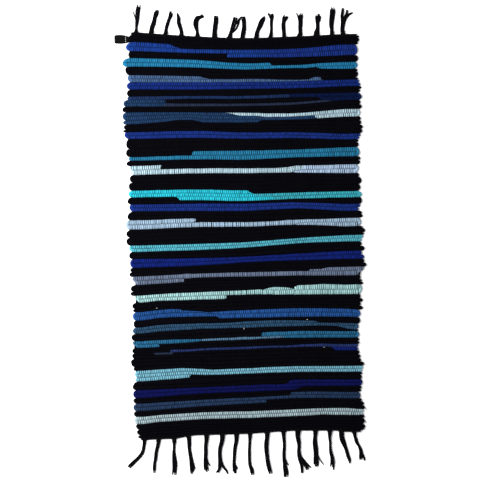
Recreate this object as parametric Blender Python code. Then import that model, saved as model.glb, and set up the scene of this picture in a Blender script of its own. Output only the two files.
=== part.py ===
"""A handwoven rag rug, 0.6 m wide and 1.2 m long over its knotted fringes, lying on its back.

The rug lies face up on z = 0, its length along Y and its far end at +Y. The origin is on
the floor, near the middle of the cloth. The tables are in millimetres.
"""

import math
import random

import bpy
import numpy as np

MM = 0.001

# The woven cloth: thick rag picks beaten over a fine warp.
CREST_HEIGHT = 8.4
VALLEY_HEIGHT = 5.6
HEIGHT_DRIFT = 0.5
# how fast the height drifts, in radians: per half pick, quickly and slowly, and per mm across.
DRIFT_QUICK = 0.37
DRIFT_SLOW = 0.11
DRIFT_ACROSS = 0.013
DRIFT_TURN = 0.05
SELVEDGE_HEIGHT = 3.2
SHOULDER_WIDTH = 6.0
SHOULDER_DROP = 1.0
UNDERCUT = 1.2
LOOP_BULGE = 5.0
SMALLEST_LOOP, LARGEST_LOOP = 0.5, 1.25
COLUMN_SHARES = (0.16, 0.31, 0.43, 0.53, 0.65, 0.78, 0.89)

# Where the tables measure the cloth across its width.
STATIONS = (-270, -116, 0, 141, 257)
TOP_LINE = (532, 520, 514, 515, 518)

# name, picks, and the depth at the five stations, from each stripe's first pick to the next stripe's.
STRIPES = (
    ("top heading", 3, 17, 23, 23, 25, 22),
    ("royal blue", 4, 40, 32, 34, 34, 45),
    ("teal", 4, 46, 41, 35, 37, 30),
    ("light slate", 2, 19, 17, 16, 15, 16),
    ("deep royal", 4, 34, 35, 36, 34, 33),
    ("navy and lilac", 5, 44, 42, 43, 47, 43),
    ("white and slate", 6, 49, 47, 48, 48, 61),
    ("royal blue", 5, 53, 53, 48, 47, 38),
    ("teal", 4, 31, 34, 36, 40, 45),
    ("white", 6, 67, 65, 66, 60, 58),
    ("cyan", 4, 36, 36, 34, 36, 43),
    ("royal blue", 4, 41, 39, 36, 35, 36),
    ("pale lavender", 6, 61, 63, 63, 55, 44),
    ("aqua", 4, 37, 39, 37, 40, 40),
    ("indigo", 4, 34, 31, 32, 37, 42),
    ("lavender grey", 5, 48, 46, 44, 44, 44),
    ("mint", 6, 45, 54, 61, 62, 62),
    ("azure", 4, 48, 36, 32, 30, 32),
    ("slate teal", 3, 24, 32, 29, 29, 27),
    ("teal", 4, 40, 31, 33, 32, 31),
    ("violet", 6, 46, 54, 56, 57, 58),
    ("pale aqua", 4, 42, 39, 36, 33, 33),
    ("deep indigo", 4, 36, 32, 33, 33, 33),
    ("slate blue", 5, 41, 41, 43, 43, 40),
    ("pale mint and bottom heading", 7, 56, 56, 53, 55, 59),
)

# along, and how far the left and right selvedges lie from the middle.
SELVEDGES = (
    (524, 284, 292),
    (470, 297, 297),
    (425, 297, 299),
    (370, 300, 306),
    (310, 304, 306),
    (250, 297, 296),
    (180, 290, 299),
    (105, 297, 300),
    (30, 300, 303),
    (-55, 296, 307),
    (-108, 288, 298),
    (-160, 293, 297),
    (-230, 294, 288),
    (-300, 295, 289),
    (-350, 289, 294),
    (-400, 291, 288),
    (-460, 285, 297),
    (-500, 281, 294),
    (-514, 272, 284),
)

# The fringes: warp ends gathered and knotted against a narrow strip of the heading.
STRIP_DEPTH = 5.0
STRIP_HEIGHT = 3.6
PARTING = 0.35
ROOT_WIDTH = 15.0
ROOT_MARGIN = 1.0
NECK_WIDTH = 8.0
NECK_LENGTH = 5.0
NECK_HEIGHT = 4.4
KNOT_WIDTH = 13.5
KNOT_LENGTH = 10.0
KNOT_HEIGHT = 8.6
# shares of the knot's length between which it is at its widest.
KNOT_SWELL, KNOT_SHRINK = 0.25, 0.75
# how high a gathered bundle stands at its sides, as a share of its middle: of three strands and of two.
CROWN_SIDE = 0.62
PAIR_SIDE = 0.74
TAIL_WIDTH = 11.0
TAIL_HEIGHT = 4.2
STRAND_HEIGHT = 3.6
TIP_WIDTH = 3.4
TIP_HEIGHT = 1.8
WAIST = 0.12
STRAND_STEPS = 4
LENGTH_DRIFT = 0.12

# root and tip across the rug, reach past the strip, sideways bow, strands, splay of the tips.
TOP_TASSELS = (
    (-269, -262, 72, -3, 3, 18),
    (-231, -214, 58, 0, 2, 9),
    (-194, -178, 58, 0, 2, 8),
    (-152, -161, 60, 2, 2, 6),
    (-109, -96, 53, -9, 2, 7),
    (-67, -61, 56, 0, 3, 10),
    (-30, -9, 54, 3, 3, 19),
    (5, 9, 53, 2, 2, 10),
    (40, 63, 55, 0, 2, 6),
    (79, 78, 60, 0, 2, 8),
    (112, 119, 54, 0, 3, 11),
    (153, 157, 59, 0, 3, 17),
    (195, 200, 55, 0, 2, 9),
    (234, 238, 69, 0, 2, 9),
    (263, 277, 64, -3, 3, 30),
)
BOTTOM_TASSELS = (
    (-267, -309, 74, 0, 2, 9),
    (-234, -247, 80, 0, 2, 8),
    (-194, -196, 88, 0, 2, 9),
    (-155, -149, 94, 0, 2, 9),
    (-112, -108, 90, 0, 3, 16),
    (-68, -71, 96, -9, 2, 23),
    (-34, -40, 100, 0, 2, 9),
    (0, 5, 102, 0, 2, 8),
    (46, 51, 104, 0, 2, 9),
    (88, 93, 112, 0, 3, 13),
    (125, 144, 104, 0, 3, 24),
    (170, 176, 90, 0, 3, 22),
    (205, 211, 93, 0, 2, 9),
    (236, 256, 79, 0, 2, 8),
    (270, 289, 70, 0, 2, 9),
)

# The corner tab: a folded ribbon that sticks out past the left selvedge.
TAB_REACH = 324
TAB_MIDDLE = 521.5
TAB_INNER_WIDTH = 15.0
TAB_OUTER_WIDTH = 21.0
TAB_SKEW = 1.0
# share of the tab's length from the cloth, and the height of its top and of its underside there.
TAB_FOLDS = (
    (0.0, 2.2, 0.0),
    (0.3, 2.6, 0.0),
    (0.6, 2.0, 0.0),
    (0.85, 2.8, 0.0),
    (0.96, 3.2, 0.0),
    (1.0, 2.2, 0.9),
)

RAG_BLUE = (0.02, 0.04, 0.16)
BLACK_YARN = (0.012, 0.012, 0.014)
BLACK_RIBBON = (0.01, 0.01, 0.012)

chance = random.Random(7)


def material(name, colour, roughness):
    """A plain cloth finish."""
    finish = bpy.data.materials.new(name)
    finish.use_nodes = True
    shader = finish.node_tree.nodes["Principled BSDF"]
    shader.inputs["Base Color"].default_value = (*colour, 1.0)
    shader.inputs["Roughness"].default_value = roughness
    return finish


def solid(name, points, faces, finish):
    """An object from points in millimetres and faces that name them."""
    mesh = bpy.data.meshes.new(name)
    mesh.from_pydata([tuple(value * MM for value in point) for point in points], [], faces)
    mesh.materials.append(finish)
    mesh.update()
    piece = bpy.data.objects.new(name, mesh)
    bpy.context.scene.collection.objects.link(piece)
    return piece


def beaten_lines():
    """The lines between the picks, from the top: for each, its y at the five stations."""
    line = np.array(TOP_LINE, float)
    lines = [line]
    for _, picks, *depths in STRIPES:
        for _ in range(picks):
            line = line - np.array(depths) / picks
            lines.append(line)
    return lines


def curve_across(line, x):
    """The y of a beaten line at x: a smooth curve through its five stations."""
    x = min(max(x, STATIONS[0]), STATIONS[-1])
    slopes = np.gradient(line, STATIONS)
    k = min(int(np.searchsorted(STATIONS, x, side="right")) - 1, len(STATIONS) - 2)
    span = STATIONS[k + 1] - STATIONS[k]
    t = (x - STATIONS[k]) / span
    return float(
        line[k] * (1 + 2 * t) * (1 - t) ** 2
        + line[k + 1] * t * t * (3 - 2 * t)
        + slopes[k] * span * t * (1 - t) ** 2
        - slopes[k + 1] * span * t * t * (1 - t)
    )


def selvedge(side, along):
    """How far a selvedge lies from the middle, without its loops; side is 1 left, 2 right."""
    rows = SELVEDGES[::-1]
    return float(np.interp(along, [row[0] for row in rows], [row[side] for row in rows]))


def loop_bulges(picks, first):
    """The bulge of a selvedge at each valley and crest: one loop joins two picks, from pick first."""
    bulges = [0.0] * (2 * picks + 1)
    for pick in range(first, picks - 1, 2):
        bulge = LOOP_BULGE * chance.uniform(SMALLEST_LOOP, LARGEST_LOOP)
        for row in (2 * pick + 1, 2 * pick + 2, 2 * pick + 3):
            bulges[row] = bulge
    return bulges


def cloth_rows():
    """The cloth's cross lines, a valley and a crest in turn: each a list of top points."""
    lines = beaten_lines()
    picks = len(lines) - 1
    left_loops = loop_bulges(picks, 0)
    right_loops = loop_bulges(picks, 1)
    rows = []
    for row in range(2 * picks + 1):
        line = lines[row // 2] if row % 2 == 0 else (lines[row // 2] + lines[row // 2 + 1]) / 2
        height = VALLEY_HEIGHT if row % 2 == 0 else CREST_HEIGHT
        height += HEIGHT_DRIFT * math.sin(row * DRIFT_QUICK) * math.cos(row * DRIFT_SLOW)
        left = -selvedge(1, line[0]) - left_loops[row]
        right = selvedge(2, line[-1]) + right_loops[row]
        across = [left, left + SHOULDER_WIDTH]
        across += [left + share * (right - left) for share in COLUMN_SHARES]
        across += [right - SHOULDER_WIDTH, right]
        turn = row * DRIFT_TURN
        heights = [height + HEIGHT_DRIFT * math.sin(x * DRIFT_ACROSS + turn) for x in across]
        heights[1] -= SHOULDER_DROP
        heights[-2] -= SHOULDER_DROP
        heights[0] = heights[-1] = SELVEDGE_HEIGHT
        rows.append([(x, curve_across(line, x), z) for x, z in zip(across, heights)])
    return rows


def woven_mat(rows):
    """The cloth: ribbed on its face by every pick, scalloped at its selvedges, flat beneath."""
    points, faces = [], []
    columns = len(rows[0])
    for row in rows:
        points += row
        points.append((row[-1][0] - UNDERCUT, row[-1][1], 0.0))
        points.append((row[0][0] + UNDERCUT, row[0][1], 0.0))
    ring = columns + 2
    for r in range(len(rows) - 1):
        above, below = r * ring, (r + 1) * ring
        for c in range(ring):
            n = (c + 1) % ring
            if c != columns or 0 < r < len(rows) - 2:
                faces.append((above + c, below + c, below + n, above + n))
    close_end(points, faces, 0, ring, columns, 1)
    close_end(points, faces, (len(rows) - 1) * ring, (len(rows) - 2) * ring, columns, -1)
    return solid("woven_mat", points, faces, material("rag cloth", RAG_BLUE, 0.9))


def close_end(points, faces, end, inner, columns, turn):
    """One end of the cloth: an upright wall under the last line, and the underside beside it."""
    feet = [end + columns + 1]
    for c in range(1, columns - 1):
        x, y, _ = points[end + c]
        feet.append(len(points))
        points.append((x, y, 0.0))
    feet.append(end + columns)
    for c in range(columns - 1):
        faces.append((end + c, end + c + 1, feet[c + 1], feet[c])[::turn])
    under = feet + [inner + columns, inner + columns + 1]
    faces.append(tuple(under)[::turn])


def end_curve(row, outward):
    """The cloth's end as a function of x, moved outwards by the parting and the strip's depth."""
    across = [point[0] for point in row]
    along = [point[1] for point in row]
    return lambda x, depth: float(np.interp(x, across, along)) + outward * depth


def strip_stations(row, tassels):
    """Where the strip is cut across, in order: (x, tassel that is rooted there or None)."""
    spare = ROOT_WIDTH / 2 + ROOT_MARGIN
    first = min(row[0][0] + SHOULDER_WIDTH / 2, tassels[0][0] - spare)
    last = max(row[-1][0] - SHOULDER_WIDTH / 2, tassels[-1][0] + spare)
    stations = [(first, None), (last, None)]
    for index, (root, _tip, _reach, _bow, count, _splay) in enumerate(tassels):
        stations += [(root + ROOT_WIDTH * (k / count - 0.5), index) for k in range(count + 1)]
    for x, _, _ in row:
        free = all(abs(x - tassel[0]) > spare for tassel in tassels)
        if free and first < x < last:
            stations.append((x, None))
    return sorted(stations, key=lambda station: station[0])


def fringe(name, row, outward, tassels, finish):
    """A strip of heading along one end of the cloth, with its knotted tassels flat on the floor."""
    edge = end_curve(row, outward)
    stations = strip_stations(row, tassels)
    points, faces = [], []
    for x, _ in stations:
        near, far = edge(x, PARTING), edge(x, PARTING + STRIP_DEPTH)
        points += [(x, near, 0.0), (x, near, STRIP_HEIGHT), (x, far, STRIP_HEIGHT), (x, far, 0.0)]
    for s in range(len(stations) - 1):
        here, there = 4 * s, 4 * s + 4
        owner = stations[s][1]
        rooted = owner is not None and owner == stations[s + 1][1]
        for a in range(4):
            b = (a + 1) % 4
            if not (rooted and a == 2):
                faces.append((here + a, here + b, there + b, there + a))
    faces.append((3, 2, 1, 0))
    last = 4 * (len(stations) - 1)
    faces.append((last, last + 1, last + 2, last + 3))
    for index, tassel in enumerate(tassels):
        roots = [s for s, station in enumerate(stations) if station[1] == index]
        tops = [4 * s + 2 for s in roots]
        feet = [4 * s + 3 for s in roots]
        knotted_tassel(points, faces, tassel, edge, outward, tops, feet)
    if outward > 0:
        faces = [face[::-1] for face in faces]
    return solid(name, points, faces, finish)


def knotted_tassel(points, faces, tassel, edge, outward, tops, feet):
    """A gathered root, a knot and its loose strands, grown from the strip's outer face."""
    root, tip, reach, bow, count, splay = tassel
    base = edge(root, PARTING + STRIP_DEPTH)
    sections = (
        (NECK_LENGTH, NECK_WIDTH, NECK_HEIGHT),
        (NECK_LENGTH + KNOT_SWELL * KNOT_LENGTH, KNOT_WIDTH, KNOT_HEIGHT),
        (NECK_LENGTH + KNOT_SHRINK * KNOT_LENGTH, KNOT_WIDTH, KNOT_HEIGHT),
        (NECK_LENGTH + KNOT_LENGTH, TAIL_WIDTH, TAIL_HEIGHT),
    )
    lean = (tip - root) / reach

    def middle(out):
        share = min(out / reach, 1.0)
        return root + lean * out + bow * math.sin(math.pi * share)

    for out, width, height in sections:
        next_tops, next_feet = [], []
        for k in range(count + 1):
            x = middle(out) + width * (k / count - 0.5)
            crown = CROWN_SIDE + (1 - CROWN_SIDE) * math.sin(math.pi * k / count)
            crown = crown if count > 2 else PAIR_SIDE + (1 - PAIR_SIDE) * (k == 1)
            next_tops.append(len(points))
            points.append((x, base + outward * out, height * crown))
            next_feet.append(len(points))
            points.append((x, base + outward * out, 0.0))
        for k in range(count):
            faces.append((tops[k], next_tops[k], next_tops[k + 1], tops[k + 1]))
            faces.append((feet[k + 1], next_feet[k + 1], next_feet[k], feet[k]))
        faces.append((feet[0], next_feet[0], next_tops[0], tops[0]))
        faces.append((tops[-1], next_tops[-1], next_feet[-1], feet[-1]))
        tops, feet = next_tops, next_feet

    knot_end = NECK_LENGTH + KNOT_LENGTH
    for k in range(count):
        length = (reach - knot_end) * (1 - LENGTH_DRIFT * chance.random())
        place = k - (count - 1) / 2
        ring = [tops[k], tops[k + 1], feet[k + 1], feet[k]]
        for step in range(1, STRAND_STEPS + 1):
            t = step / STRAND_STEPS
            out = knot_end + t * length
            waist = 1 - WAIST * math.sin(math.pi * t)
            width = (TAIL_WIDTH / count * (1 - t) + TIP_WIDTH * t) * waist
            height = STRAND_HEIGHT * (1 - t) + TIP_HEIGHT * t
            spacing = TAIL_WIDTH / count * (1 - t) + splay / max(count - 1, 1) * t
            x = middle(out) + place * spacing
            y = base + outward * out
            fresh = list(range(len(points), len(points) + 4))
            points += [
                (x - width / 2, y, height),
                (x + width / 2, y, height),
                (x + width / 2, y, 0.0),
                (x - width / 2, y, 0.0),
            ]
            for a in range(4):
                b = (a + 1) % 4
                faces.append((ring[a], fresh[a], fresh[b], ring[b]))
            ring = fresh
        faces.append(tuple(ring[::-1]))


def corner_tab(rows, finish):
    """A folded ribbon at the top left corner, its doubled end outwards."""
    low, high = TAB_MIDDLE - TAB_INNER_WIDTH, TAB_MIDDLE + TAB_INNER_WIDTH
    inner = min(row[0][0] for row in rows if low < row[0][1] < high) - PARTING
    points, faces = [], []
    for share, top, under in TAB_FOLDS:
        x = inner + share * (-TAB_REACH - inner)
        half = (TAB_INNER_WIDTH + share * (TAB_OUTER_WIDTH - TAB_INNER_WIDTH)) / 2
        y = TAB_MIDDLE + share * TAB_SKEW
        points += [(x, y - half, under), (x, y - half, top), (x, y + half, top), (x, y + half, under)]
    for s in range(len(TAB_FOLDS) - 1):
        here, there = 4 * s, 4 * s + 4
        for a in range(4):
            b = (a + 1) % 4
            faces.append((here + a, here + b, there + b, there + a))
    last = 4 * (len(TAB_FOLDS) - 1)
    faces.append((3, 2, 1, 0))
    faces.append((last, last + 1, last + 2, last + 3))
    return solid("corner_tab", points, faces, finish)


for old in list(bpy.data.objects):
    bpy.data.objects.remove(old, do_unlink=True)

cross_rows = cloth_rows()
woven_mat(cross_rows)
fringe("fringe_top", cross_rows[0], 1, TOP_TASSELS, material("far warp yarn", BLACK_YARN, 0.85))
fringe("fringe_bottom", cross_rows[-1], -1, BOTTOM_TASSELS, material("near warp yarn", BLACK_YARN, 0.85))
corner_tab(cross_rows, material("tab ribbon", BLACK_RIBBON, 0.6))
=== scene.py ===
"""The floor mat in its CAD frame: a handwoven rag rug, seen from straight above.

The tables are in millimetres, x across the mat and y along it, measured from the middle of the cloth.
"""

import math

import bpy
import numpy as np
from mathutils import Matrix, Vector


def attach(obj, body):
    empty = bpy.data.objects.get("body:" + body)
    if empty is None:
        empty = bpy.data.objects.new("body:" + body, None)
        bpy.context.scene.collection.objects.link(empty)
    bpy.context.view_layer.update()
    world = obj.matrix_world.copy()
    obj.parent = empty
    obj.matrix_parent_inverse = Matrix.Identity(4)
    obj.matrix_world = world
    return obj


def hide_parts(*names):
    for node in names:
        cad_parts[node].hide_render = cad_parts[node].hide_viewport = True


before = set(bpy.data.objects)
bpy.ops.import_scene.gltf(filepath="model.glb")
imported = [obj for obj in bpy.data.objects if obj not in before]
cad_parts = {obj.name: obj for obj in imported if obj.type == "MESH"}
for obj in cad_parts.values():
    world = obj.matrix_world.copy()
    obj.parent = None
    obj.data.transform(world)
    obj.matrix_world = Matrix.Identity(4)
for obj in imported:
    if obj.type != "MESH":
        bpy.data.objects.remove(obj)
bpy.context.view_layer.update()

# Rag weft
# Strips of cotton rag about 9 mm wide, laid through the warp by hand, beaten flat against one
# another and turned round at the selvedges, one colour after the other.
MM = 0.001
STATIONS = np.array((-270.0, -116.0, 0.0, 141.0, 257.0))
GRID = np.arange(-330.0, 331.0, 5.0)
TOP_LINE = (535, 521, 514, 515, 518)
FOOT_LINE = ((-270, -503), (-217, -501.5), (-190, -502), (-168, -497.5), (-138, -493.8), (-40, -493.5),
             (0, -493), (77, -489.2), (120, -487.6), (220, -489.9), (245, -493.5), (275, -494.8))
HEADING_PICKS = 3
LEFT, RIGHT = -1000, 1000

# name, black picks below it, its top and its foot, and for each of its picks the runs of coloured
# rag: from x, to x, dye, and how gently the run's inner ends thin out. Black rag fills a pick up,
# and None is a place where the pick has no rag. A line has its y at the five stations, or is uneven
# and has its own points. Last, where the picks are uneven: how much of the height each takes along x.
STRIPES = (
    ("royal", 1, (515.0, 502.9, 498.5, 497.8, 502.9), (479.5, 472.3, 468.9, 466.5, 468.5), (
        ((LEFT, -172, "bright royal", 16),), ((LEFT, 62, "bright royal", 24), (62, RIGHT, "royal", 24)),
        ((-35, 70, "bright royal", 3), (70, RIGHT, "royal", 9))),
        (((0, 1), (141, 0.85), (257, 0.5)), ((0, 1),), ((0, 1),))),
    ("sky", 2, (473.4, 465.1, 454.3, 454.0, 451.5), (451.2, 445.6, 437.8, 438.3, 433.5), (
        ((LEFT, 76, "sky", 5), (76, 215, "black", 5), (215, RIGHT, None, 5)), ((LEFT, RIGHT, "sky", 9),),
        ((LEFT, 200, None, 6), (200, RIGHT, "sky", 6))),
        (((80, 1), (150, 0.93), (200, 0.35), (257, 0.06)), ((0, 1),), ((165, 0.03), (210, 0.6),
         (257, 0.95)))),
    ("light slate", 0, (429.7, 423.5, 421.4, 418.9, 420.9), (411.2, 407.6, 405.4, 404.5, 405.8), (
        ((LEFT, -98, "grey slate", 16),), ((LEFT, 205, "grey slate", 5),)),
        (((0, 1),), ((50, 1), (100, 0.5), (162, 0.35), (176, 0.4), (188, 1.8), (200, 1.8), (208, 0.4)))),
    ("deep royal", 2, (411.2, 407.6, 405.4, 404.5, 405.8), (392.9, 389.1, 388.0, 386.8, 388.8), (
        ((LEFT, RIGHT, "deep royal", 9),), ((LEFT, RIGHT, "deep royal", 9),))),
    ("navy", 2, (374.5, 372.8, 370.2, 372.6, 372.8), (349.0, 345.6, 343.9, 344.8, 353.0), (
        ((LEFT, 124, "dim slate", 9), (124, RIGHT, "navy", 9)), ((LEFT, -197, "slate", 9),
         (201, RIGHT, "navy", 9)),
        ((LEFT, -198, "slate", 9), (-198, 229, "lilac grey", 9), (229, RIGHT, None, 6))),
        (((-200, 1), (-150, 0.8), (100, 0.8), (190, 1)), ((-200, 1), (-150, 1.3), (120, 1.2), (190, 1)),
         ((-200, 1), (-150, 0.8), (141, 0.6), (215, 0.6), (240, 0.03)))),
    ("white on slate", 3, (334.1, 330.5, 326.8, 322.6, 330.2),
     ((-270, 303.9), (-230, 306.3), (-196, 308.1), (-170, 311.6), (-126, 311.1), (-100, 304.3), (0, 301.6),
      (141, 302.0), (257, 301.2)), (
        ((LEFT, -22, "slate", 22), (-22, RIGHT, "white", 22)),
        ((LEFT, 188, "slate", 4), (188, RIGHT, "white", 4)), ((LEFT, 45, "slate", 9),)),
        (((-31, 0.95), (40, 0.95), (62, 1.35), (100, 1.35), (141, 1.15), (257, 1)),
         ((40, 1.1), (141, 1.2), (257, 1)), ((40, 0.95), (62, 0.7), (141, 0.6), (257, 1)))),
    ("second royal", 3, (283.2, 282.8, 276.6, 273.4, 267.2), (266.0, 265.0, 260.0, 258.3, 252.2), (
        ((LEFT, RIGHT, "royal", 9),), ((LEFT, RIGHT, "royal", 9),))),
    ("teal", 2, (228.2, 230.8, 229.7, 229.6, 232.3), (210.2, 209.6, 206.2, 209.1, 208.8), (
        ((-130, RIGHT, "teal", 3),), ((LEFT, RIGHT, "teal", 9),))),
    ("white", 4, (196.5, 197.4, 194.8, 188.5, 188.4), (173.2, 173.6, 171.2, 169.8, 165.9), (
        ((LEFT, -211, "white", 2), (-211, 120, "black", 2), (120, RIGHT, None, 6)),
        ((LEFT, 150, "white", 12), (150, RIGHT, "blue white", 12)), ((LEFT, 132, None, 4),
         (132, RIGHT, "blue white", 4))),
        (((0, 1), (80, 0.75), (130, 0.1), (145, 0.03), (257, 0.03)), ((0, 1.15), (257, 1)),
         ((120, 0.03), (135, 0.5), (200, 0.9), (257, 1)))),
    ("cyan", 1, (133.2, 132.1, 127.7, 126.8, 127.3), (107.0, 104.6, 100.2, 103.2, 103.6), (
        ((LEFT, 16, "cyan", 9),), ((LEFT, 30, "cyan", 12), (30, RIGHT, "dusk cyan", 12)),
        ((-168, 74, "cyan", 6), (74, RIGHT, "dusk cyan", 12)))),
    ("third royal", 2, (97.2, 96.1, 93.5, 93.4, 86.7), (79.7, 77.1, 74.5, 77.5, 68.7), (
        ((LEFT, RIGHT, "royal", 9),), ((LEFT, RIGHT, "royal", 9),))),
    ("pale lavender", 4, (56.6, 57.6, 51.5, 49.4, 50.9), (33.0, 36.0, 33.9, 35.6, 29.4), (
        ((LEFT, -126, "pale lavender", 3), (-126, 100, "black", 3), (100, RIGHT, None, 4)),
        ((LEFT, RIGHT, "pale lavender", 9),), ((LEFT, 132, None, 6), (132, RIGHT, "pale lavender", 6))),
        (((-140, 1), (-112, 0.72), (0, 0.5), (75, 0.3), (110, 0.03), (257, 0.03)), ((0, 1),),
         ((122, 0.03), (168, 0.95), (257, 1)))),
    ("aqua", 2, (-8.0, -7.1, -5.5, 1.7, 6.8), (-24.2, -22.8, -19.5, -11.4, -9.7), (
        ((LEFT, RIGHT, "aqua", 9),), ((LEFT, RIGHT, "aqua", 9),))),
    ("indigo", 2, (-42.7, -43.9, -42.9, -37.6, -33.6), (-65.3, -62.9, -57.3, -55.1, -54.6), (
        ((LEFT, RIGHT, "indigo", 9),), ((LEFT, RIGHT, "indigo", 9),))),
    ("lavender grey", 2, ((-270, -76.5), (-116, -74), (0, -73.5), (141, -74.5), (163, -78.5), (196, -78.5),
                          (212, -74.5), (257, -74.9)), (-109.4, -103.2, -103.3, -103.4, -106.5), (
        ((163, RIGHT, "lavender grey", 3),), ((LEFT, RIGHT, "lavender grey", 9),),
         ((LEFT, -160, "lavender grey", 2),)),
        (((-270, 1), (141, 0.9), (163, 0.55), (196, 0.65), (212, 1), (257, 1)),
         ((-270, 1), (-164, 1), (-157, 1.4), (-144, 1.4), (-136, 1), (0, 1.15), (141, 1.2),
          (257, 1.15)), ((0, 0.95),))),
    ("mint", 3, ((-270, -126.5), (-116, -120), (0, -118), (35, -118), (58, -124), (76, -122.2),
     (100, -123.5),
                 (122, -127), (130, -119.2), (200, -117.8), (257, -120.5)),
     ((-270, -154.9), (-230, -151.1), (-116, -150.5), (0, -150.5), (141, -153.4), (257, -155.8)), (
        ((54, 121, "mint", 10), (126, RIGHT, "mint", 2)), ((LEFT, RIGHT, "mint", 9),),
         ((LEFT, -52, "mint", 2),)),
        (((-270, 1.1), (-230, 1.05), (-116, 1.15), (0, 1), (48, 0.7), (58, 0.35), (76, 0.8), (100, 0.6),
         (121, 0.25),
          (128, 1.1), (257, 1.05)), ((0, 1),), ((0, 0.9),))),
    ("azure", 1, ((-270, -178.9), (-230, -175.5), (-190, -173), (-172, -174.2), (-160, -177.6),
     (-116, -180.9),
                  (-103, -183.6), (-72, -182.1), (-40, -181), (0, -179.9), (141, -178), (257, -182.2),
                   (290, -185.7)),
     ((-270, -200.8), (-230, -195.8), (-190, -194.1), (-116, -194), (-76, -194.6), (-69, -200.4),
      (-40, -199.5),
      (0, -199.9), (141, -200.6), (257, -202.7), (290, -205.7)), (
        ((LEFT, -163, "azure", 3), (-163, -90, "azure", 9), (-90, RIGHT, "azure", 9)),
         ((LEFT, -73, "azure", 6), (-73, RIGHT, "azure", 3))),
        (((-200, 1), (-163, 0.8), (-150, 0.4), (-105, 0.3), (-60, 0.9)), ((0, 1),))),
    ("slate teal", 1, ((-270, -218.7), (-230, -213.5), (-190, -212.1), (-116, -211.4), (-40, -211.5),
     (0, -208.7),
                       (85, -207.6), (141, -209.6), (176, -211.3), (190, -216), (230, -217.3), (290, -221)),
     ((-270, -234.2), (-230, -230.2), (-190, -228.8), (-116, -225.1), (0, -225.2), (85, -224.6),
      (190, -223.9),
      (228, -225.6), (257, -233.5), (290, -237.7)), (
        ((LEFT, 181, "slate teal", 6), (181, 225, None, 6), (225, RIGHT, "slate teal", 12)),
         ((LEFT, RIGHT, "slate teal", 9),)),
        (((-270, 1), (170, 0.9), (190, 0.06), (222, 0.1), (257, 0.8)), ((0, 1),))),
    ("second teal", 1, (-243.0, -242.5, -239.0, -236.9, -240.1), (-270.6, -267.2, -264.1, -263.7, -265.8), (
        ((38, RIGHT, "dusk teal", 2),), ((LEFT, -118, "dusk teal", 9), (-118, 92, "grey teal", 9),
         (92, RIGHT, "dusk teal", 9)),
        ((LEFT, -225, "dusk teal", 2),)),
        (((-270, 10.9), (-190, 8), (-116, 9.3), (0, 9.8), (38, 11.2), (85, 10.6), (141, 9.5), (257, 8.2)),
         ((-270, 8.3), (-190, 10.6), (-150, 9), (-116, 5.3), (0, 7), (38, 5.4), (85, 5.4), (141, 8),
          (257, 8.2)),
         ((-270, 8.4), (-190, 7.2), (-116, 10.2), (0, 8.2), (38, 9.8), (141, 9.1), (257, 9.3)))),
    ("violet", 4, ((-270, -278.5), (-197, -277), (-150, -277.3), (-116, -275.5), (-60, -274.7),
     (0, -274), (40, -273.1),
                   (100, -273.2), (141, -271.1), (190, -270.4), (257, -273.2)),
                    (-290.0, -289.5, -288.3, -287.9, -289.1), (
        ((-197, RIGHT, "violet", 2),), ((-239, -192, "lilac grey", 3), (222, RIGHT, "indigo", 6))),
        (((-270, 6.5), (-197, 7.2), (-116, 5.9), (0, 7), (40, 5.7), (141, 6.4), (190, 7.7), (257, 7.8)),
         ((-270, 5.5), (-197, 5.5), (-116, 8.1), (0, 7.3), (40, 9.5), (141, 10.4), (257, 8.1)))),
    ("pale aqua", 1, ((-270, -329.8), (-230, -327.6), (-170, -325.3), (-116, -328.6), (-90, -331.2),
     (-55, -330.3),
                      (0, -329.6), (70, -327.5), (141, -326.9), (257, -329.5)),
     ((-270, -356.7), (-190, -352.6), (-150, -350), (-116, -351.5), (0, -350), (141, -349), (257, -352)), (
        ((LEFT, RIGHT, "pale aqua", 9),), ((LEFT, RIGHT, "pale aqua", 9),),
         ((LEFT, -149, "pale aqua", 3),))),
    ("deep indigo", 1, (-368.9, -367.4, -364.3, -361.6, -364.2), (-400.2, -391.9, -390.0, -387.0, -388.7), (
        ((105, RIGHT, "deep indigo", 9),), ((LEFT, RIGHT, "deep indigo", 9),),
         ((LEFT, 125, "deep indigo", 12),)),
        (((0, 1),), ((0, 1),), ((40, 1), (75, 0.6), (120, 0.5), (150, 1)))),
    ("slate blue", 2, (-404.9, -399.2, -396.4, -392.6, -396.1), (-433.1, -424.6, -420.3, -417.5, -421.0), (
        ((108, RIGHT, "dusk slate", 3),), ((LEFT, RIGHT, "dusk slate", 9),),
         ((LEFT, 46, "dusk slate", 2),))),
    ("pale mint", 5, ((-270, -448), (-230, -444.5), (-116, -439.7), (0, -440.1), (141, -437.2),
     (190, -436), (257, -437.7),
                      (290, -441)), ((-270, -466.5), (-230, -462), (-116, -457.1), (0, -457),
                       (141, -454.4), (190, -452.7),
                      (257, -455.5)), (
        ((LEFT, RIGHT, "pale mint", 9),), ((LEFT, RIGHT, "pale mint", 9),))),
)

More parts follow.
